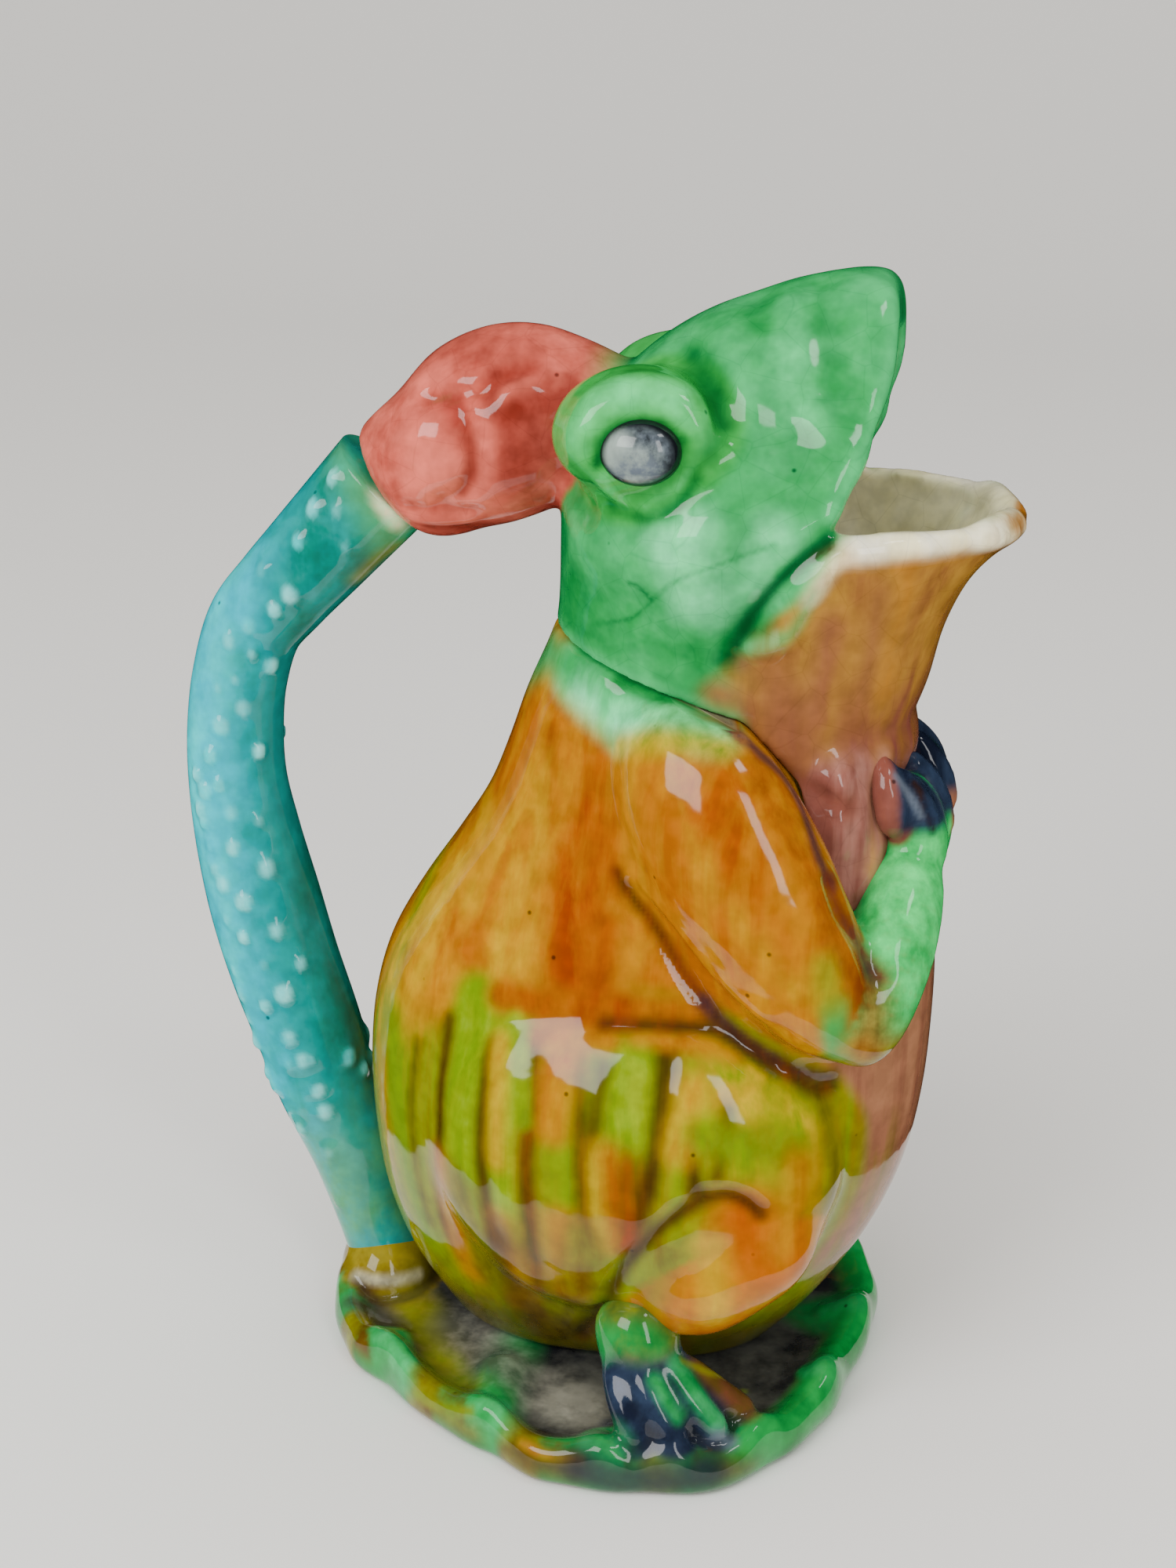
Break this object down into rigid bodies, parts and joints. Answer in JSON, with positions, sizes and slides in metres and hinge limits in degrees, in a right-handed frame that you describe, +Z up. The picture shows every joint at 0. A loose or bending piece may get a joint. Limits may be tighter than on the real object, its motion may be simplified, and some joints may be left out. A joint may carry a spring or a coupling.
{
  "type": "frog pitcher",
  "caption": "Glazed earthenware pitcher shaped as a seated frog on a lily pad, open upturned mouth as the spout, with a water-lily stem and bud as the handle.",
  "frame": {"origin": "middle of the lily pad's flat underside, on the surface the pitcher stands on", "axes": "+Z up, +X the way the frog faces and the spout pours, +Y to the frog's left"},
  "size_m": [0.1685, 0.1235, 0.2306],
  "materials": {
    "glaze_leaf": "glossy green, brown and near-black majolica glaze on earthenware",
    "glaze_body": "glossy orange running to olive majolica glaze on earthenware",
    "glaze_head": "glossy mottled green majolica glaze on earthenware",
    "glaze_throat": "glossy amber and purple-brown majolica glaze, cream rim",
    "glaze_hand": "glossy mint green majolica glaze",
    "glaze_digits": "glossy navy majolica glaze",
    "glaze_haunch": "glossy olive, yellow and brown majolica glaze",
    "glaze_eye": "glossy grey glaze with a near-black edge",
    "glaze_stem": "glossy turquoise majolica glaze",
    "glaze_bud": "glossy coral red majolica glaze"
  },
  "bodies": {
    "root": {"lily_pad": "glaze_leaf", "stem_root": "glaze_leaf", "torso_shell": "glaze_body", "head_shell": "glaze_head", "throat_spout": "glaze_throat", "throat_pouch": "glaze_throat", "handle_stem": "glaze_stem", "handle_bud": "glaze_bud", "right_upper_arm": "glaze_body", "right_forearm": "glaze_hand", "right_hand": "glaze_digits", "right_haunch": "glaze_haunch", "right_shank": "glaze_haunch", "right_foot": "glaze_digits", "right_eyelid": "glaze_head", "right_eyeball": "glaze_eye", "left_upper_arm": "glaze_body", "left_forearm": "glaze_hand", "left_hand": "glaze_digits", "left_haunch": "glaze_haunch", "left_shank": "glaze_haunch", "left_foot": "glaze_digits", "left_eyelid": "glaze_head", "left_eyeball": "glaze_eye"}
  },
  "joints": []
}
